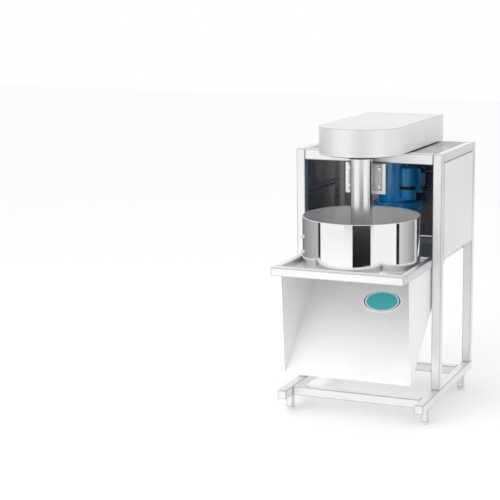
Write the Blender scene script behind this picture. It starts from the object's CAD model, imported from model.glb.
import math

import bmesh
import bpy
from mathutils import Matrix, Vector


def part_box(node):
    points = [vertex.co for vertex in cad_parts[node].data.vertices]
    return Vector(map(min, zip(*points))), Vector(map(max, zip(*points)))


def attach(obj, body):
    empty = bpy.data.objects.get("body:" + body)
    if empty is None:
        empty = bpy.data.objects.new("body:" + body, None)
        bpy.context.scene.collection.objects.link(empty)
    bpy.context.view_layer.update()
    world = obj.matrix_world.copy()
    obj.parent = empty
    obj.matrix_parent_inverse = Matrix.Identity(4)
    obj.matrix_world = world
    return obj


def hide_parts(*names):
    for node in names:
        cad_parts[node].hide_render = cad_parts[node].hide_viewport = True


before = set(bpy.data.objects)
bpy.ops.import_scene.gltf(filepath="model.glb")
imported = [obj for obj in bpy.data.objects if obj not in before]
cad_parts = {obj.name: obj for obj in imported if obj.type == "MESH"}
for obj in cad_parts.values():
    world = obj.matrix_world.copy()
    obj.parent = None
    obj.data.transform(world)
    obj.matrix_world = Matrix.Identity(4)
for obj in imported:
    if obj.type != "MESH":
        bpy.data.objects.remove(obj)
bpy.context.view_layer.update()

# ---- Camera ------------------------------------------------------------------
# A long lens, turned a little to the machine's right side and looking slightly
# down on the drum. The machine stands right of the middle of the picture.
camera_turn = math.radians(20.12)
camera_tilt = math.radians(11.23)
camera_away = 7.310
look_at = Vector((-0.0265, -0.090, 0.8737))
looking = Vector((-math.sin(camera_turn) * math.cos(camera_tilt),
                  math.cos(camera_turn) * math.cos(camera_tilt),
                  -math.sin(camera_tilt)))
scene = bpy.context.scene
camera = bpy.data.objects.new("camera", bpy.data.cameras.new("camera"))
scene.collection.objects.link(camera)
camera.location = look_at - looking * camera_away
camera.rotation_mode = "QUATERNION"
camera.rotation_quaternion = looking.to_track_quat("-Z", "Y")
camera.data.sensor_width = 36
camera.data.lens = 96.8
camera.data.shift_x = -0.2262
camera.data.shift_y = 0.0048
camera.data.clip_end = 60
scene.camera = camera

# ---- Studio ------------------------------------------------------------------
# A plain pale floor under a bright, even sky and two soft lamps. Curved grey cards
# and dark flags stand round the drum; they only show as reflections in the steel.
scene.view_settings.view_transform = "Standard"
world = bpy.data.worlds.new("studio")
scene.world = world
world.use_nodes = True
world.node_tree.nodes["Background"].inputs["Color"].default_value = (1.0, 1.0, 1.0, 1)
world.node_tree.nodes["Background"].inputs["Strength"].default_value = 1.0


def link_object(name, mesh):
    item = bpy.data.objects.new(name, mesh)
    scene.collection.objects.link(item)
    return item


floor_reach = 20
bm = bmesh.new()
bmesh.ops.create_grid(bm, x_segments=1, y_segments=1, size=floor_reach)
floor_mesh = bpy.data.meshes.new("floor")
bm.to_mesh(floor_mesh)
bm.free()
floor_finish = bpy.data.materials.new("floor_paper")
floor_finish.use_nodes = True
paper = floor_finish.node_tree.nodes["Principled BSDF"].inputs
paper["Base Color"].default_value = (0.97, 0.97, 0.97, 1)
paper["Roughness"].default_value = 0.9
floor_mesh.materials.append(floor_finish)
link_object("floor", floor_mesh)

to_camera = Vector((-looking.x, -looking.y, 0)).normalized()
drum_low, drum_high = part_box("drum_shell")
drum_middle = (drum_low + drum_high) / 2
card_reach = 3.0
card_facet = 4
card_tint = 1.02


def reflector(name, first, last, low, high, shade):
    """An upright card bent round the drum's axis, between two angles in degrees counted
    from the camera's side, and between two heights."""
    bm = bmesh.new()
    foot = Matrix.Rotation(math.radians(first), 3, "Z") @ to_camera * card_reach
    foot += Vector((drum_middle.x, drum_middle.y, low))
    start = bm.verts.new(foot)
    edge = bm.edges.new((start, bm.verts.new(foot + Vector((0, 0, high - low)))))
    bmesh.ops.spin(bm, geom=[start, edge], cent=(drum_middle.x, drum_middle.y, 0),
                   axis=(0, 0, 1), dvec=(0, 0, 0), angle=math.radians(last - first),
                   steps=max(2, int((last - first) / card_facet)), use_merge=False)
    mesh = bpy.data.meshes.new(name)
    bm.to_mesh(mesh)
    bm.free()
    glow = bpy.data.materials.new(name)
    glow.use_nodes = True
    tree = glow.node_tree
    tree.nodes.remove(tree.nodes["Principled BSDF"])
    light = tree.nodes.new("ShaderNodeEmission")
    light.inputs["Color"].default_value = (shade, shade, shade * card_tint, 1)
    tree.links.new(light.outputs[0], tree.nodes["Material Output"].inputs["Surface"])
    mesh.materials.append(glow)
    card = link_object(name, mesh)
    card.visible_camera = False
    card.visible_diffuse = False
    card.visible_shadow = False
    card.visible_transmission = False


centre_split = 0.66
card_top, left_card_top = 0.90, 1.15
right_edge, right_width = 74, 7.5
left_edge, left_width = -88, 11
side_cards = 7
reflector("flag_centre_low", -16.5, 16.5, 0.0, centre_split, 0.004)
reflector("card_centre_high", -32, 22, centre_split, 0.88, 0.16)
reflector("flag_line_right", 67, right_edge, 0.0, card_top, 0.02)
reflector("flag_line_left", left_edge, -82, 0.0, card_top, 0.03)
for step in range(side_cards):
    fade = step / (side_cards - 1)
    right = right_edge + right_width * step
    left = left_edge - left_width * step
    reflector("card_right_%d" % step, right, right + right_width, 0.0, card_top,
              0.66 - 0.42 * fade)
    reflector("card_left_%d" % step, left - left_width, left, 0.0, left_card_top,
              0.50 - 0.30 * fade)
reflector("card_guard_side", 127, 160, 0.84, 1.20, 0.42)

lamp_aim = Vector((0, 0, 0.8))
for name, size, energy, place in (("soft_lamp", 3.0, 50, (-1.6, -3.4, 3.6)),
                                  ("low_fill", 2.0, 32, (-0.5, -3.6, 0.55))):
    lamp = bpy.data.objects.new(name, bpy.data.lights.new(name, "AREA"))
    scene.collection.objects.link(lamp)
    lamp.data.size = size
    lamp.data.energy = energy
    lamp.location = place
    lamp.rotation_mode = "QUATERNION"
    lamp.rotation_quaternion = (lamp_aim - lamp.location).to_track_quat("-Z", "Y")
    lamp.visible_glossy = False

# ---- Finishes shared by the pieces -------------------------------------------
# Stainless tube and sheet with a fine one-way grain from the finishing belt, a
# few wiped marks, and rolled corners that look a little darker than the flats.


def new_group(name, inputs, outputs):
    group = bpy.data.node_groups.new(name, "ShaderNodeTree")
    for label, kind, value in inputs:
        socket = group.interface.new_socket(label, in_out="INPUT", socket_type="NodeSocket" + kind)
        if value is not None:
            socket.default_value = value
    for label, kind in outputs:
        group.interface.new_socket(label, in_out="OUTPUT", socket_type="NodeSocket" + kind)
    return group, group.nodes.new("NodeGroupInput"), group.nodes.new("NodeGroupOutput")


def add(tree, kind, settings=(), values=()):
    """A node with some of its settings and its sockets' own values given."""
    node = tree.nodes.new("ShaderNode" + kind)
    for key, value in dict(settings).items():
        setattr(node, key, value)
    for key, value in dict(values).items():
        node.inputs[key].default_value = value
    return node


def make_grain_group():
    """Fine streaks along X of the given vector, as colour, roughness and height."""
    group, given, out = new_group(
        "belt_grain",
        [("Vector", "Vector", None), ("Light", "Color", (0.9, 0.9, 0.9, 1)),
         ("Dark", "Color", (0.7, 0.7, 0.7, 1)), ("Smooth", "Float", 0.2), ("Rough", "Float", 0.35)],
        [("Color", "Color"), ("Roughness", "Float"), ("Height", "Float")])
    link = group.links.new
    stretch = add(group, "Mapping", values={"Scale": (6, 420, 420)})
    fine = add(group, "TexNoise", values={"Scale": 1.0, "Detail": 5.0, "Roughness": 0.65})
    cloud = add(group, "TexNoise", values={"Scale": 5.0, "Detail": 3.0, "Roughness": 0.5})
    link(given.outputs["Vector"], stretch.inputs["Vector"])
    link(stretch.outputs[0], fine.inputs["Vector"])
    link(given.outputs["Vector"], cloud.inputs["Vector"])
    soften = add(group, "Math", {"operation": "MULTIPLY"}, {1: 0.4})
    both = add(group, "Math", {"operation": "MULTIPLY_ADD"}, {1: 0.6})
    link(cloud.outputs["Fac"], soften.inputs[0])
    link(fine.outputs["Fac"], both.inputs[0])
    link(soften.outputs[0], both.inputs[2])
    mix = add(group, "Mix", {"data_type": "RGBA"})
    link(both.outputs[0], mix.inputs[0])
    link(given.outputs["Dark"], mix.inputs[6])
    link(given.outputs["Light"], mix.inputs[7])
    link(mix.outputs[2], out.inputs["Color"])
    rough = add(group, "MapRange", values={"From Min": 0.3, "From Max": 0.7})
    link(both.outputs[0], rough.inputs["Value"])
    link(given.outputs["Rough"], rough.inputs["To Min"])
    link(given.outputs["Smooth"], rough.inputs["To Max"])
    link(rough.outputs[0], out.inputs["Roughness"])
    link(fine.outputs["Fac"], out.inputs["Height"])
    return group


def make_marks_group():
    """Wiped patches with fine scratches in them: a darker colour and more roughness."""
    group, given, out = new_group(
        "handling_marks",
        [("Vector", "Vector", None), ("Color", "Color", (1, 1, 1, 1)), ("Roughness", "Float", 0.3),
         ("Amount", "Float", 0.3)],
        [("Color", "Color"), ("Roughness", "Float")])
    link = group.links.new
    wipe = add(group, "TexNoise", values={"Scale": 3.0, "Detail": 6.0, "Roughness": 0.6,
                                          "Distortion": 0.8})
    scratch = add(group, "TexVoronoi", {"feature": "DISTANCE_TO_EDGE"}, {"Scale": 14.0})
    link(given.outputs["Vector"], wipe.inputs["Vector"])
    link(given.outputs["Vector"], scratch.inputs["Vector"])
    patch = add(group, "MapRange", values={"From Min": 0.50, "From Max": 0.72, "To Max": 0.6})
    line = add(group, "MapRange", values={"From Max": 0.012, "To Min": 0.5, "To Max": 0.0})
    link(wipe.outputs["Fac"], patch.inputs["Value"])
    link(scratch.outputs["Distance"], line.inputs["Value"])
    scratched = add(group, "Math", {"operation": "MULTIPLY"})
    link(patch.outputs[0], scratched.inputs[0])
    link(line.outputs[0], scratched.inputs[1])
    total = add(group, "Math", {"operation": "ADD"})
    link(patch.outputs[0], total.inputs[0])
    link(scratched.outputs[0], total.inputs[1])
    share = add(group, "Math", {"operation": "MULTIPLY"})
    link(total.outputs[0], share.inputs[0])
    link(given.outputs["Amount"], share.inputs[1])
    shade = add(group, "Mix", {"data_type": "RGBA", "blend_type": "MULTIPLY"},
                {7: (0.68, 0.69, 0.71, 1)})
    link(share.outputs[0], shade.inputs[0])
    link(given.outputs["Color"], shade.inputs[6])
    link(shade.outputs[2], out.inputs["Color"])
    rough = add(group, "Math", {"operation": "MULTIPLY_ADD"}, {1: 0.3})
    link(share.outputs[0], rough.inputs[0])
    link(given.outputs["Roughness"], rough.inputs[2])
    link(rough.outputs[0], out.inputs["Roughness"])
    return group


belt_grain = make_grain_group()
handling_marks = make_marks_group()


def use_group(tree, group, values=()):
    node = tree.nodes.new("ShaderNodeGroup")
    node.node_tree = group
    for key, value in dict(values).items():
        node.inputs[key].default_value = value
    return node


grain_turn = {"X": (0, 0, 0), "Y": (0, 0, math.radians(-90)), "Z": (0, math.radians(90), 0)}
steel_tint = 1.005


def stainless(name, grain="Z", light=0.92, dark=0.82, smooth=0.3, rough=0.5, marks=0.12,
              bump=0.02, corner=0.72, metal=1.0, streaky=0.0):
    """Stainless steel with its grain along one axis. Faces whose edge value is 1 are the
    rolled corners. Streaky steel is polished round and round, so its glints run upright."""
    surface = bpy.data.materials.new(name)
    surface.use_nodes = True
    tree = surface.node_tree
    shader = tree.nodes["Principled BSDF"]
    shader.inputs["Metallic"].default_value = metal
    shader.inputs["Anisotropic"].default_value = streaky
    shader.inputs["Anisotropic Rotation"].default_value = 0.25 if streaky else 0.0
    place = add(tree, "TexCoord")
    turn = add(tree, "Mapping")
    turn.inputs["Rotation"].default_value = grain_turn[grain]
    tree.links.new(place.outputs["Object"], turn.inputs["Vector"])
    streaks = use_group(tree, belt_grain, {
        "Light": (light, light, light * steel_tint, 1),
        "Dark": (dark, dark, dark * steel_tint, 1),
        "Smooth": smooth, "Rough": rough})
    tree.links.new(turn.outputs[0], streaks.inputs["Vector"])
    wear = use_group(tree, handling_marks, {"Amount": marks})
    tree.links.new(place.outputs["Object"], wear.inputs["Vector"])
    tree.links.new(streaks.outputs["Color"], wear.inputs["Color"])
    tree.links.new(streaks.outputs["Roughness"], wear.inputs["Roughness"])
    rolled = add(tree, "Attribute", {"attribute_name": "edge"})
    darker = add(tree, "Mix", {"data_type": "RGBA", "blend_type": "MULTIPLY"},
                 {7: (corner, corner, corner, 1)})
    tree.links.new(rolled.outputs["Fac"], darker.inputs[0])
    tree.links.new(wear.outputs["Color"], darker.inputs[6])
    tree.links.new(darker.outputs[2], shader.inputs["Base Color"])
    tree.links.new(wear.outputs["Roughness"], shader.inputs["Roughness"])
    relief = add(tree, "Bump", values={"Strength": bump, "Distance": 0.0004})
    tree.links.new(streaks.outputs["Height"], relief.inputs["Height"])
    tree.links.new(relief.outputs[0], shader.inputs["Normal"])
    return surface


def moulded(name, colour, other, rough=0.35, coat_weight=0.0, metal=0.0, size=40.0,
            bump=0.05, marks=0.3):
    """Paint, plastic, rubber or cast iron: two close shades mixed in a fine mottle."""
    surface = bpy.data.materials.new(name)
    surface.use_nodes = True
    tree = surface.node_tree
    shader = tree.nodes["Principled BSDF"]
    shader.inputs["Metallic"].default_value = metal
    shader.inputs["Coat Weight"].default_value = coat_weight
    shader.inputs["Coat Roughness"].default_value = 0.12
    place = add(tree, "TexCoord")
    mottle = add(tree, "TexNoise", values={"Scale": size, "Detail": 4.0, "Roughness": 0.6})
    tree.links.new(place.outputs["Object"], mottle.inputs["Vector"])
    shades = add(tree, "Mix", {"data_type": "RGBA"}, {6: (*colour, 1), 7: (*other, 1)})
    tree.links.new(mottle.outputs["Fac"], shades.inputs[0])
    wear = use_group(tree, handling_marks, {"Amount": marks, "Roughness": rough})
    tree.links.new(place.outputs["Object"], wear.inputs["Vector"])
    tree.links.new(shades.outputs[2], wear.inputs["Color"])
    tree.links.new(wear.outputs["Color"], shader.inputs["Base Color"])
    tree.links.new(wear.outputs["Roughness"], shader.inputs["Roughness"])
    relief = add(tree, "Bump", values={"Strength": bump, "Distance": 0.0006})
    tree.links.new(mottle.outputs["Fac"], relief.inputs["Height"])
    tree.links.new(relief.outputs[0], shader.inputs["Normal"])
    return surface


def finish_piece(bm, name, surfaces, stands_for=(), body="frame", soften=None):
    """Turns a bmesh into a named piece that rides on its body. Soften is the angle below
    which edges are shaded smooth, with the large faces kept flat beside small bends."""
    mesh = bpy.data.meshes.new(name)
    if soften:
        for face in bm.faces:
            face.smooth = True
    bm.to_mesh(mesh)
    bm.free()
    if soften:
        mesh.set_sharp_from_angle(angle=math.radians(soften))
    for surface in (surfaces if isinstance(surfaces, (list, tuple)) else [surfaces]):
        mesh.materials.append(surface)
    item = link_object(name, mesh)
    if soften:
        flats = item.modifiers.new("flats_stay_flat", "WEIGHTED_NORMAL")
        flats.keep_sharp = True
        flats.weight = 90
    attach(item, body)
    if stands_for:
        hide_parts(*([stands_for] if isinstance(stands_for, str) else stands_for))
    return item


def coat(surface, *nodes):
    """Gives CAD nodes their material."""
    for node in nodes:
        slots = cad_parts[node].data.materials
        slots.clear()
        slots.append(surface)


def rounded_bar(bm, low, high, radius, steps=3):
    """A bar between two corners with rolled edges; the rolled faces get edge = 1."""
    rolled_value = bm.faces.layers.float.get("edge") or bm.faces.layers.float.new("edge")
    low, high = Vector(low), Vector(high)
    made = bmesh.ops.create_cube(bm, size=1)["verts"]
    bmesh.ops.scale(bm, verts=made, vec=high - low)
    bmesh.ops.translate(bm, verts=made, vec=(low + high) / 2)
    edges = list({e for v in made for e in v.link_edges})
    rolled = bmesh.ops.bevel(bm, geom=edges, offset=radius, offset_type="OFFSET",
                             affect="EDGES", segments=steps, profile=0.5, material=-1)
    for face in rolled["faces"]:
        face[rolled_value] = 1.0
        face.smooth = True
    return list({f for v in rolled["verts"] for f in v.link_faces})


touching = 1e-6


def lathe(bm, outline, centre, steps=96):
    """Spins an outline of (radius, height) points about an upright axis; a closed outline
    repeats its first point at the end."""
    points = [bm.verts.new((centre[0] + r, centre[1], z)) for r, z in outline[:-1]]
    last = outline[-1]
    points.append(points[0] if last == outline[0]
                  else bm.verts.new((centre[0] + last[0], centre[1], last[1])))
    edges = [bm.edges.new(pair) for pair in zip(points, points[1:])]
    bmesh.ops.spin(bm, geom=list(dict.fromkeys(points)) + edges,
                   cent=(centre[0], centre[1], 0), axis=(0, 0, 1), dvec=(0, 0, 0),
                   angle=2 * math.pi, steps=steps, use_merge=True)
    bmesh.ops.remove_doubles(bm, verts=bm.verts, dist=touching)
    bmesh.ops.recalc_face_normals(bm, faces=bm.faces)


# ---- Base: side rails, crossbars, legs and glides ----------------------------
# Two stainless box sections run front to back with closed ends, tied by two
# crossbars, and stand on four short square legs with rounded white glides.
roll = 0.0055
steel_y = stainless("satin_steel_front_to_back", "Y")
steel_x = stainless("satin_steel_across", "X")
steel_z = stainless("satin_steel_upright", "Z")
white_plastic = moulded("white_glide_plastic", (0.80, 0.80, 0.80), (0.74, 0.74, 0.74), 0.45)

rail_low, rail_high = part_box("base_side_rails")
cap_low, cap_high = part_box("rail_caps")
tube = rail_high.z - rail_low.z
bm = bmesh.new()
for side in (-1, 1):
    xs = sorted((side * rail_high.x, side * (rail_high.x - tube)))
    rounded_bar(bm, (xs[0], cap_low.y, rail_low.z), (xs[1], cap_high.y, rail_high.z), roll)
finish_piece(bm, "base_rails", steel_y, ("base_side_rails", "rail_caps"))

bar_low, bar_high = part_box("base_crossbars")
bm = bmesh.new()
for y in (bar_low.y, bar_high.y - tube):
    rounded_bar(bm, (bar_low.x, y, bar_low.z), (bar_high.x, y + tube, bar_high.z), roll)
finish_piece(bm, "base_crossbar_pair", steel_x, "base_crossbars")

leg_low, leg_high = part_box("legs")
leg_tube, leg_roll = 0.040, 0.006
leg_middles = [(x, y) for x in (leg_low.x + leg_tube / 2, leg_high.x - leg_tube / 2)
               for y in (leg_low.y + leg_tube / 2, leg_high.y - leg_tube / 2)]
bm = bmesh.new()
for x, y in leg_middles:
    rounded_bar(bm, (x - leg_tube / 2, y - leg_tube / 2, leg_low.z),
                (x + leg_tube / 2, y + leg_tube / 2, leg_high.z), leg_roll)
finish_piece(bm, "leg_set", steel_z, "legs")

glide_r, glide_h = leg_tube / 2, leg_low.z
bm = bmesh.new()
for middle in leg_middles:
    lathe(bm, [(0, 0), (glide_r - 0.009, 0), (glide_r - 0.004, 0.0016), (glide_r - 0.0012, 0.005),
               (glide_r, 0.009), (glide_r, glide_h), (0, glide_h)], middle, 40)
finish_piece(bm, "glide_set", white_plastic, "glides", soften=40)

# ---- Posts, top beams and welds ----------------------------------------------
# Four square posts stand on the base rails and carry a ring of beams welded
# between their heads. Small dull weld beads run along the front and back of every
# post's foot and every leg's head.
post_low, post_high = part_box("front_posts")
rear_low, rear_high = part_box("rear_posts")
post_rows = ((post_low.y, post_high.y), (rear_low.y, rear_high.y))
bm = bmesh.new()
for x in (post_low.x, post_high.x - tube):
    for low_y, high_y in post_rows:
        rounded_bar(bm, (x, low_y, post_low.z), (x + tube, high_y, post_high.z), roll)
finish_piece(bm, "post_set", steel_z, ("front_posts", "rear_posts"))

bm = bmesh.new()
for node in ("top_front_beam", "top_rear_beam"):
    rounded_bar(bm, *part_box(node), roll)
finish_piece(bm, "top_cross_beams", steel_x, ("top_front_beam", "top_rear_beam"))

beam_low, beam_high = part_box("top_side_beams")
bm = bmesh.new()
for x in (beam_low.x, beam_high.x - tube):
    rounded_bar(bm, (x, beam_low.y, beam_low.z), (x + tube, beam_high.y, beam_high.z), roll)
finish_piece(bm, "top_long_beams", steel_y, "top_side_beams")

weld_steel = stainless("weld_bead_steel", "Z", light=0.92, dark=0.7, smooth=0.4, rough=0.6,
                       marks=0.4, bump=0.3, corner=0.9)
bead, bead_inset, leg_bead_half, bead_room = 0.0035, 0.006, 0.014, 0.01
bm = bmesh.new()
for x in (post_low.x, post_high.x - tube):
    for low_y, high_y in post_rows:
        room_behind = high_y < cap_high.y - bead_room
        back_y = high_y + bead if room_behind else high_y
        for start_y, end_y in ((low_y - bead, low_y + bead), (high_y - bead, back_y)):
            rounded_bar(bm, (x + bead_inset, start_y, post_low.z),
                        (x + tube - bead_inset, end_y, post_low.z + 2 * bead), bead * 0.9, 4)
for x, y in leg_middles:
    for side in (-1, 1):
        face_y = y + side * leg_tube / 2
        rounded_bar(bm, (x - leg_bead_half, face_y - bead * 0.7, leg_high.z - bead * 1.4),
                    (x + leg_bead_half, face_y + bead * 0.7, leg_high.z), bead * 0.6)
finish_piece(bm, "weld_beads", weld_steel)

# ---- Tray rim ----------------------------------------------------------------
# A rim of box section round the deck: a broad rail in front, one along each side
# between the posts, and one at the back.
front_low, front_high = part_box("tray_front_rail")
side_low, side_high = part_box("tray_side_rails")
back_low, back_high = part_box("tray_rear_rail")
side_w = side_high.x - back_high.x
bm = bmesh.new()
rounded_bar(bm, front_low, front_high, roll)
rounded_bar(bm, back_low, back_high, roll)
finish_piece(bm, "tray_cross_rails", steel_x, ("tray_front_rail", "tray_rear_rail"))
bm = bmesh.new()
for x in (side_low.x, side_high.x - side_w):
    rounded_bar(bm, (x, side_low.y, side_low.z), (x + side_w, side_high.y, side_high.z), roll)
finish_piece(bm, "tray_long_rails", steel_y, "tray_side_rails")

# ---- Deck and top plate ------------------------------------------------------
# Polished sheet: the deck lies inside the tray rim with the discharge opening
# under the drum, and the top plate closes the enclosure between the beams.
deck_steel = stainless("deck_sheet", "X", light=0.92, dark=0.78, smooth=0.25, rough=0.45,
                       marks=0.4, bump=0.01, metal=0.6)
top_steel = stainless("top_sheet", "Y", light=0.48, dark=0.24, smooth=0.12, rough=0.34,
                      marks=0.9, bump=0.03)
coat(deck_steel, "deck_plate")
coat(top_steel, "top_plate")

# ---- Enclosure: side panels, back panel and stiffeners -----------------------
# Thin folded sheets close the sides and the back. Outside they are satin steel;
# inside they keep a dark, clouded mill finish. A narrow gap outlines each panel.
sheet_out = stainless("panel_outside", "Z", light=0.95, dark=0.90, smooth=0.42, rough=0.55,
                      marks=0.15, bump=0.008, metal=0.9, corner=0.55)
sheet_in = stainless("panel_inside", "Z", light=0.74, dark=0.16, smooth=0.18, rough=0.42,
                     marks=1.0, bump=0.02, corner=1.6)
sheet, fold, gap = 0.002, 0.0009, 0.0016
slack = 1e-4
# So long that every face that leans upward at all counts as the outside
upward = (0, 0, 9)


def two_faced(bm, low, high, outward):
    """A sheet whose faces away from the outward direction take the second material."""
    rounded_bar(bm, low, high, fold, 2)
    outward = Vector(outward)
    for face in bm.faces:
        centre = face.calc_center_median()
        inside = all(low[i] - slack <= centre[i] <= high[i] + slack for i in range(3))
        if inside and face.normal.dot(outward) < 0.5:
            face.material_index = 1


for side, node in ((-1, "side_panel_left"), (1, "side_panel_right")):
    low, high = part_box(node)
    skin_x = (high.x - sheet, high.x) if side > 0 else (low.x, low.x + sheet)
    back_x = (low.x, high.x - sheet) if side > 0 else (low.x + sheet, high.x)
    bm = bmesh.new()
    two_faced(bm, (skin_x[0], low.y + gap, low.z + gap), (skin_x[1], high.y - gap, high.z - gap),
              (side, 0, 0))
    for y in (low.y + gap, high.y - gap - sheet):
        two_faced(bm, (back_x[0], y, low.z + gap), (back_x[1], y + sheet, high.z - gap), upward)
    finish_piece(bm, node + "_sheet", [sheet_out, sheet_in], node)

low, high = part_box("back_panel")
duct = 0.036
bm = bmesh.new()
two_faced(bm, (low.x + gap, high.y - sheet, low.z + gap), (high.x - gap, high.y, high.z - gap),
          (0, 1, 0))
for side in (-1, 1):
    xs = sorted((side * high.x, side * (high.x - duct)))
    two_faced(bm, (xs[0], low.y, low.z), (xs[1], low.y + sheet, high.z), upward)
    xs = sorted((side * (high.x - duct), side * (high.x - duct + sheet)))
    two_faced(bm, (xs[0], low.y + sheet, low.z), (xs[1], high.y - sheet, high.z), upward)
finish_piece(bm, "back_panel_sheet", [sheet_out, sheet_in], "back_panel")

low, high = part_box("panel_stiffeners")
stiffener_depth = 0.017
bm = bmesh.new()
for side in (-1, 1):
    for z in (low.z, high.z - sheet):
        xs = sorted((side * high.x, side * (high.x - stiffener_depth)))
        two_faced(bm, (xs[0], low.y, z), (xs[1], high.y, z + sheet), upward)
    xs = sorted((side * high.x, side * (high.x - sheet)))
    two_faced(bm, (xs[0], low.y, low.z + sheet), (xs[1], high.y, high.z - sheet), upward)
finish_piece(bm, "stiffener_channels", [sheet_out, sheet_in], "panel_stiffeners")

# ---- Chute -------------------------------------------------------------------
# Satin sheet: two side walls and a sloping floor, open to the front. The walls'
# front edges are hemmed so that they are safe to touch.
chute_steel = stainless("chute_sheet", "X", light=0.92, dark=0.86, smooth=0.42, rough=0.6,
                        marks=0.25, bump=0.008, metal=0.25)
coat(chute_steel, "chute_side_left", "chute_side_right", "chute_floor")
wall_low, wall_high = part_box("chute_side_right")
hem, half_wall, foot_back = 0.0022, 0.0015, 0.034
bm = bmesh.new()
for side in (-1, 1):
    x = side * (wall_high.x - half_wall)
    top = Vector((x, wall_low.y + hem, wall_high.z))
    foot = Vector((x, wall_low.y + foot_back + hem, wall_low.z + hem))
    length = (top - foot).length
    made = bmesh.ops.create_cone(bm, cap_ends=True, segments=16, radius1=hem, radius2=hem,
                                 depth=length)["verts"]
    turn = (top - foot).to_track_quat("Z", "X").to_matrix().to_4x4()
    bmesh.ops.transform(bm, matrix=Matrix.Translation((top + foot) / 2) @ turn, verts=made)
hem_steel = stainless("hem_steel", "Z", light=0.46, dark=0.34, smooth=0.3, rough=0.45)
finish_piece(bm, "chute_hems", hem_steel, soften=50)

# ---- Badge -------------------------------------------------------------------
# A domed oval sticker on the sloping floor: teal inside a white border, with dark
# blue crescents at both ends. It carries no lettering.
rim_low, rim_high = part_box("badge_rim")
badge_middle = (rim_low + rim_high) / 2
slope = math.atan2(rim_high.z - rim_low.z, rim_high.y - rim_low.y)
half_w = (rim_high.x - rim_low.x) / 2
half_h = math.hypot(rim_high.z - rim_low.z, rim_high.y - rim_low.y) / 2
badge_print = bpy.data.materials.new("badge_print")
badge_print.use_nodes = True
tree = badge_print.node_tree
shader = tree.nodes["Principled BSDF"]
shader.inputs["Coat Weight"].default_value = 0.6
place = add(tree, "TexCoord")
local = add(tree, "Mapping", {"vector_type": "TEXTURE"},
            {"Location": badge_middle, "Rotation": (slope, 0, 0), "Scale": (half_w, half_h, 1)})
tree.links.new(place.outputs["Object"], local.inputs["Vector"])


print_edge = 0.012
badge_rise = 0.0018


def oval(scale_x, scale_y):
    """1 outside an oval of the badge's own units, 0 inside it."""
    flat = add(tree, "VectorMath", {"operation": "MULTIPLY"})
    flat.inputs[1].default_value = (1 / scale_x, 1 / scale_y, 0)
    tree.links.new(local.outputs[0], flat.inputs[0])
    size = add(tree, "VectorMath", {"operation": "LENGTH"})
    tree.links.new(flat.outputs[0], size.inputs[0])
    step = add(tree, "MapRange", values={"From Min": 1 - print_edge, "From Max": 1 + print_edge})
    tree.links.new(size.outputs["Value"], step.inputs["Value"])
    return step.outputs[0]


cloud = add(tree, "TexNoise", values={"Scale": 60.0, "Detail": 3.0})
tree.links.new(place.outputs["Object"], cloud.inputs["Vector"])
colour = add(tree, "Mix", {"data_type": "RGBA"}, {6: (0.028, 0.42, 0.47, 1),
                                                  7: (0.05, 0.52, 0.56, 1)})
tree.links.new(cloud.outputs["Fac"], colour.inputs[0])
last = colour.outputs[2]
for border, paint in ((oval(0.80, 0.80), (0.95, 0.97, 0.98, 1)),
                      (oval(0.86, 0.86), (0.012, 0.035, 0.16, 1)),
                      (oval(0.93, 0.885), (1.0, 1.0, 1.0, 1))):
    layer = add(tree, "Mix", {"data_type": "RGBA"}, {7: paint})
    tree.links.new(border, layer.inputs[0])
    tree.links.new(last, layer.inputs[6])
    last = layer.outputs[2]
tree.links.new(last, shader.inputs["Base Color"])
gloss = add(tree, "MapRange", values={"To Min": 0.18, "To Max": 0.30})
tree.links.new(cloud.outputs["Fac"], gloss.inputs["Value"])
tree.links.new(gloss.outputs[0], shader.inputs["Roughness"])

bm = bmesh.new()
bmesh.ops.create_uvsphere(bm, u_segments=64, v_segments=16, radius=1)
bmesh.ops.scale(bm, verts=bm.verts, vec=(half_w, half_h, badge_rise))
tilt = Matrix.Translation(badge_middle) @ Matrix.Rotation(slope, 4, "X")
bmesh.ops.transform(bm, matrix=tilt, verts=bm.verts)
finish_piece(bm, "badge", badge_print, ("badge_plate", "badge_rim"), soften=60)

# ---- Drum --------------------------------------------------------------------
# A rolled shell of 3 mm sheet, mirror polished outside and satin inside, its rim
# folded inwards to a round hem. Two dome nuts hold the baffle from outside.
drum_out = stainless("drum_outside", "X", light=0.93, dark=0.84, smooth=0.05, rough=0.10,
                     marks=0.16, bump=0.004, streaky=0.8)
drum_in = stainless("drum_inside", "Z", light=0.96, dark=0.60, smooth=0.34, rough=0.6,
                    marks=1.0, bump=0.02, metal=0.45)
axis = (drum_middle.x, drum_middle.y)
drum_r = (drum_high.x - drum_low.x) / 2
shell = 0.003
# The hem's curve, as steps in from the outside and down from the top
hem_curve = ((0, 0.003), (0.0009, 0.0009), (0.003, 0), (0.0051, 0.0009), (0.006, 0.003),
             (0.0051, 0.0048), (0.003, 0.0055))
bm = bmesh.new()
lathe(bm, [(drum_r - shell, drum_low.z), (drum_r, drum_low.z)]
      + [(drum_r - inward, drum_high.z - down) for inward, down in hem_curve]
      + [(drum_r - shell, drum_low.z)], axis, 192)
for face in bm.faces:
    centre = face.calc_center_median()
    outward = (centre - Vector((*axis, centre.z))).normalized()
    if face.normal.dot(outward) < 0.3:
        face.material_index = 1
finish_piece(bm, "drum", [drum_out, drum_in], "drum_shell", soften=50)
coat(drum_in, "drum_baffle")
bolt_steel = stainless("bolt_steel", "Z", light=0.84, dark=0.70, smooth=0.12, rough=0.26,
                       marks=0.2)
coat(bolt_steel, "baffle_bolts", "blade_bolts", "guard_screws", "flange_bolts", "motor_bolts")

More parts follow.
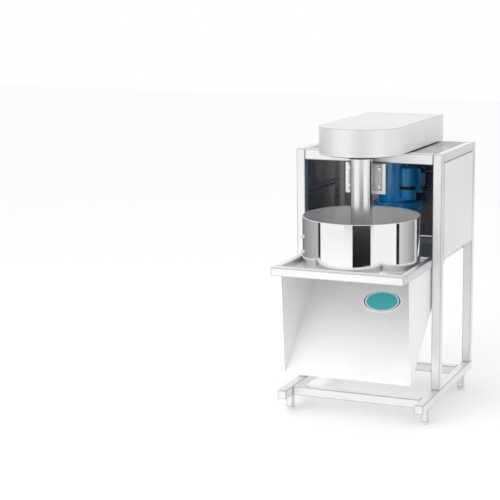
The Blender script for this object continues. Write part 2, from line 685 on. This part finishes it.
# ---- Column with its flange and bracket --------------------------------------
# A polished tube round the spindle, hung from a dark flange. A satin plate welded
# to the tube is bolted with four hexagon bolts to a gusseted plate under the beam.
column_steel = stainless("column_polish", "X", light=0.94, dark=0.78, smooth=0.10, rough=0.20,
                         marks=0.12, bump=0.004, streaky=0.9)
dark_steel = moulded("blackened_steel", (0.030, 0.031, 0.034), (0.055, 0.056, 0.060), 0.4,
                     metal=0.6, size=90)
plate_steel = stainless("bracket_plate", "Z", light=0.62, dark=0.42, smooth=0.3, rough=0.5,
                        marks=0.6, bump=0.03, metal=0.8)
mount_steel = stainless("mount_plate_steel", "Z", light=0.95, dark=0.86, smooth=0.35, rough=0.5,
                        marks=0.2, metal=0.8)
tube_low, tube_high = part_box("column_tube")
column_r = (tube_high.x - tube_low.x) / 2
bore_r = column_r - 0.008
tube_edge, flange_edge = 0.001, 0.002
bm = bmesh.new()
lathe(bm, [(bore_r, tube_low.z), (column_r - tube_edge, tube_low.z),
           (column_r, tube_low.z + tube_edge), (column_r, tube_high.z), (bore_r, tube_high.z),
           (bore_r, tube_low.z)], axis)
finish_piece(bm, "column", column_steel, "column_tube", soften=40)

flange_low, flange_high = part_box("column_flange")
flange_r = (flange_high.x - flange_low.x) / 2
bm = bmesh.new()
lathe(bm, [(bore_r, flange_low.z), (flange_r - flange_edge, flange_low.z),
           (flange_r, flange_low.z + flange_edge), (flange_r, flange_high.z),
           (bore_r, flange_high.z), (bore_r, flange_low.z)], axis)
finish_piece(bm, "flange", dark_steel, "column_flange", soften=40)

plate_low, plate_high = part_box("column_plate")
wing_inner, wing_roll = 0.020, 0.002
bm = bmesh.new()
for start_x, end_x in ((plate_low.x, -wing_inner), (wing_inner, plate_high.x)):
    rounded_bar(bm, (start_x, plate_low.y, plate_low.z), (end_x, plate_high.y, plate_high.z),
                wing_roll)
finish_piece(bm, "column_wings", plate_steel, "column_plate")
coat(mount_steel, "mount_plate")

low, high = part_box("bracket_bolts")
bolt_x, washer_r, hexagon_r, shank_r = 0.083, 0.0112, 0.0104, 0.006
hexagon_edge = 0.0022
quarter = Matrix.Rotation(math.radians(90), 4, "X")
# Sides, radius, start and end of the washer, the head, the shank and the nut
bolt_parts = ((40, washer_r, 0, 0.002), (6, hexagon_r, 0.002, 0.010),
              (40, shank_r, -0.030, 0.001), (6, hexagon_r, -0.029, -0.020))
bm = bmesh.new()
for x in (-bolt_x, bolt_x):
    for z in (low.z + washer_r, high.z - washer_r):
        spot = Matrix.Translation((x, plate_low.y, z)) @ quarter
        for sides, radius, start, end in bolt_parts:
            part = bmesh.ops.create_cone(bm, cap_ends=True, segments=sides, radius1=radius,
                                         radius2=radius, depth=end - start)["verts"]
            bmesh.ops.translate(bm, verts=part, vec=(0, 0, (start + end) / 2))
            if sides == 6:
                rims = [e for e in {e for v in part for e in v.link_edges}
                        if abs(e.verts[0].co.z - e.verts[1].co.z) < touching]
                rolled = bmesh.ops.bevel(bm, geom=rims, offset=hexagon_edge,
                                         offset_type="OFFSET", affect="EDGES", segments=3,
                                         profile=0.5, material=-1)
                part = rolled["verts"] + [v for v in part if v.is_valid]
            bmesh.ops.transform(bm, matrix=spot, verts=list(dict.fromkeys(part)))
finish_piece(bm, "bracket_bolt_set", bolt_steel, "bracket_bolts", soften=35)

# ---- Drive base plate and guard ----------------------------------------------
# The guard is a folded and welded cover with a round nose over the column and a
# flat back. It stands on a dark plate by a flange turned inwards.
guard_steel = stainless("guard_sheet", "X", light=0.88, dark=0.80, smooth=0.34, rough=0.46,
                        marks=0.3, bump=0.01, corner=0.75)
coat(dark_steel, "drive_base_plate")
guard_low, guard_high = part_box("guard_cover")
guard_r = (guard_high.x - guard_low.x) / 2
guard_skin, guard_flange = 0.002, 0.032
outer_bend, inner_bend = 0.0035, 0.0015


def guard_wall(bm, inward, bend):
    """One face of the guard's sheet, set inward from the outside, open inside its flange."""
    before = set(bm.verts)
    radius, back = guard_r - inward, guard_high.y - inward
    foot, head = guard_low.z + inward, guard_high.z - inward
    nose = bm.verts.new((-radius, axis[1], foot))
    bmesh.ops.spin(bm, geom=[nose], cent=(*axis, foot), axis=(0, 0, 1), dvec=(0, 0, 0),
                   angle=math.pi, steps=72, use_merge=False)
    arc = [v for v in bm.verts if v not in before]
    ends = sorted(arc, key=lambda v: abs(v.co.x))[-2:]
    rear = bmesh.ops.extrude_vert_indiv(bm, verts=ends)["verts"]
    for vert in rear:
        vert.co.y = back
    bm.edges.new(rear)
    outline = [e for e in bm.edges if e.verts[0] not in before]
    plan = bmesh.ops.contextual_create(bm, geom=outline)["faces"]
    raised = bmesh.ops.extrude_face_region(bm, geom=plan)["geom"]
    lifted = [v for v in raised if isinstance(v, bmesh.types.BMVert)]
    bmesh.ops.translate(bm, verts=lifted, vec=(0, 0, head - foot))
    if plan[0].normal.z > 0:
        bmesh.ops.reverse_faces(bm, faces=plan)
    bmesh.ops.inset_region(bm, faces=plan, thickness=guard_flange - inward,
                           use_even_offset=True)
    bmesh.ops.delete(bm, geom=plan, context="FACES")
    mine = [e for e in bm.edges if e.verts[0] not in before]
    corners = [e for e in mine if min(v.co.z for v in e.verts) > head - touching
               or (min(v.co.y for v in e.verts) > back - touching
                   and abs(e.verts[0].co.x - e.verts[1].co.x) < touching)]
    rolled = bmesh.ops.bevel(bm, geom=corners, offset=bend, offset_type="OFFSET",
                             affect="EDGES", segments=3, profile=0.5, material=-1)
    return rolled["faces"]


bm = bmesh.new()
rolled_value = bm.faces.layers.float.new("edge")
for face in guard_wall(bm, 0.0, outer_bend):
    face[rolled_value] = 1.0
guard_wall(bm, guard_skin, inner_bend)
mouth = [e for e in bm.edges if e.is_boundary]
bmesh.ops.bridge_loops(bm, edges=mouth)
bmesh.ops.recalc_face_normals(bm, faces=bm.faces)
finish_piece(bm, "guard", guard_steel, "guard_cover", soften=30)

# ---- Motor -------------------------------------------------------------------
# A vertical flange motor in glossy blue enamel: smooth body, wide fan cowl below,
# a start capacitor held by a dark strap, and a terminal box on the right.
blue_enamel = moulded("blue_enamel", (0.001, 0.27, 0.68), (0.003, 0.40, 0.92), 0.24,
                      coat_weight=1.0, size=70, bump=0.06, marks=0.3)
dark_plastic = moulded("black_plastic", (0.018, 0.018, 0.020), (0.035, 0.035, 0.038), 0.45)
cable_sheath = moulded("grey_cable_sheath", (0.10, 0.105, 0.115), (0.16, 0.165, 0.175), 0.4)
body_low, body_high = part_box("motor_body")
motor_axis = ((body_low.x + body_high.x) / 2, (body_low.y + body_high.y) / 2)
motor_r = (body_high.x - body_low.x) / 2
motor_bore, motor_foot, motor_edge = 0.03, 0.003, 0.001
bm = bmesh.new()
lathe(bm, [(motor_bore, body_low.z), (motor_r - motor_foot, body_low.z),
           (motor_r, body_low.z + motor_foot), (motor_r, body_high.z - motor_edge),
           (motor_r - motor_edge, body_high.z), (motor_bore, body_high.z),
           (motor_bore, body_low.z)], motor_axis, 120)
finish_piece(bm, "motor_shell", blue_enamel, "motor_body", soften=35)
coat(blue_enamel, "motor_flange")

cowl_low, cowl_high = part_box("motor_cowl")
cowl_r = (cowl_high.x - cowl_low.x) / 2
cowl_sheet, foot_bend, head_bend = 0.003, 0.010, 0.006
hole_r, neck_r = 0.012, motor_r - 0.02
skin_r, foot_r, head_r = cowl_r - cowl_sheet, cowl_r - foot_bend, cowl_r - head_bend
bm = bmesh.new()
lathe(bm, [(hole_r, cowl_low.z), (foot_r, cowl_low.z), (skin_r, cowl_low.z + cowl_sheet),
           (cowl_r, cowl_low.z + foot_bend), (cowl_r, cowl_high.z - head_bend),
           (cowl_r - 0.002, cowl_high.z - 0.002), (head_r, cowl_high.z), (neck_r, cowl_high.z),
           (neck_r, cowl_high.z - cowl_sheet), (head_r, cowl_high.z - cowl_sheet),
           (skin_r, cowl_high.z - head_bend), (skin_r, cowl_low.z + foot_bend),
           (foot_r, cowl_low.z + cowl_sheet), (hole_r, cowl_low.z + cowl_sheet),
           (hole_r, cowl_low.z)], motor_axis, 120)
finish_piece(bm, "fan_cowl", blue_enamel, "motor_cowl", soften=35)

can_low, can_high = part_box("capacitor")
can_r = (can_high.x - can_low.x) / 2
can_middle = ((can_low.x + can_high.x) / 2, (can_low.y + can_high.y) / 2)
can_foot, stud = 0.004, 0.024
bm = bmesh.new()
lathe(bm, [(0, can_low.z), (can_r - can_foot, can_low.z), (can_r, can_low.z + can_foot),
           (can_r, can_high.z - stud - 0.010), (can_r - 0.003, can_high.z - stud - 0.004),
           (can_r - 0.009, can_high.z - stud), (0.006, can_high.z - stud),
           (0.005, can_high.z - 0.001), (0.004, can_high.z), (0, can_high.z)], can_middle, 72)
finish_piece(bm, "capacitor_can", blue_enamel, "capacitor", soften=35)
coat(dark_steel, "capacitor_strap")

box_low, box_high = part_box("terminal_box")
lid_low, lid_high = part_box("terminal_lid")
case_roll, lid_roll, lid_depth = 0.004, 0.0018, 0.005
screw_r, screw_flat = 0.004, 0.6
bm = bmesh.new()
rounded_bar(bm, box_low, box_high, case_roll)
finish_piece(bm, "terminal_case", blue_enamel, "terminal_box")
bm = bmesh.new()
rounded_bar(bm, lid_low, (lid_low.x + lid_depth, lid_high.y, lid_high.z), lid_roll)
for y in (lid_low.y + 0.009, lid_high.y - 0.009):
    for z in (lid_low.z + 0.010, lid_high.z - 0.010):
        head = bmesh.ops.create_uvsphere(bm, u_segments=20, v_segments=10, radius=screw_r)["verts"]
        bmesh.ops.scale(bm, verts=head, vec=(screw_flat, 1, 1))
        bmesh.ops.translate(bm, verts=head, vec=(lid_low.x + lid_depth, y, z))
finish_piece(bm, "terminal_cover", blue_enamel, "terminal_lid", soften=35)
coat(dark_plastic, "cable_glands", "cable_grommets", "motor_fan")
coat(cable_sheath, "motor_cables")
coat(mount_steel, "motor_mount_plate")

# ---- Drive under the guard, knife disc and spindle ---------------------------
# Cast pulleys with two rubber belts, plain bearings in dark housings, and the
# bright rotating disc with its four knives at the bottom of the drum.
belt_rubber = moulded("belt_rubber", (0.012, 0.012, 0.013), (0.022, 0.022, 0.024), 0.6, size=120)
turned_steel = stainless("turned_steel", "X", light=0.78, dark=0.62, smooth=0.15, rough=0.3,
                         marks=0.3)
knife_steel = stainless("knife_steel", "X", light=0.9, dark=0.8, smooth=0.1, rough=0.22, marks=0.3)
coat(belt_rubber, "v_belts")
coat(dark_steel, "bearing_housings", "driven_pulley", "motor_pulley")
coat(turned_steel, "spindle_shaft", "rotor_shaft", "spindle_bearings", "spindle_nuts",
     "cutter_disc")
coat(knife_steel, "cutter_blades")
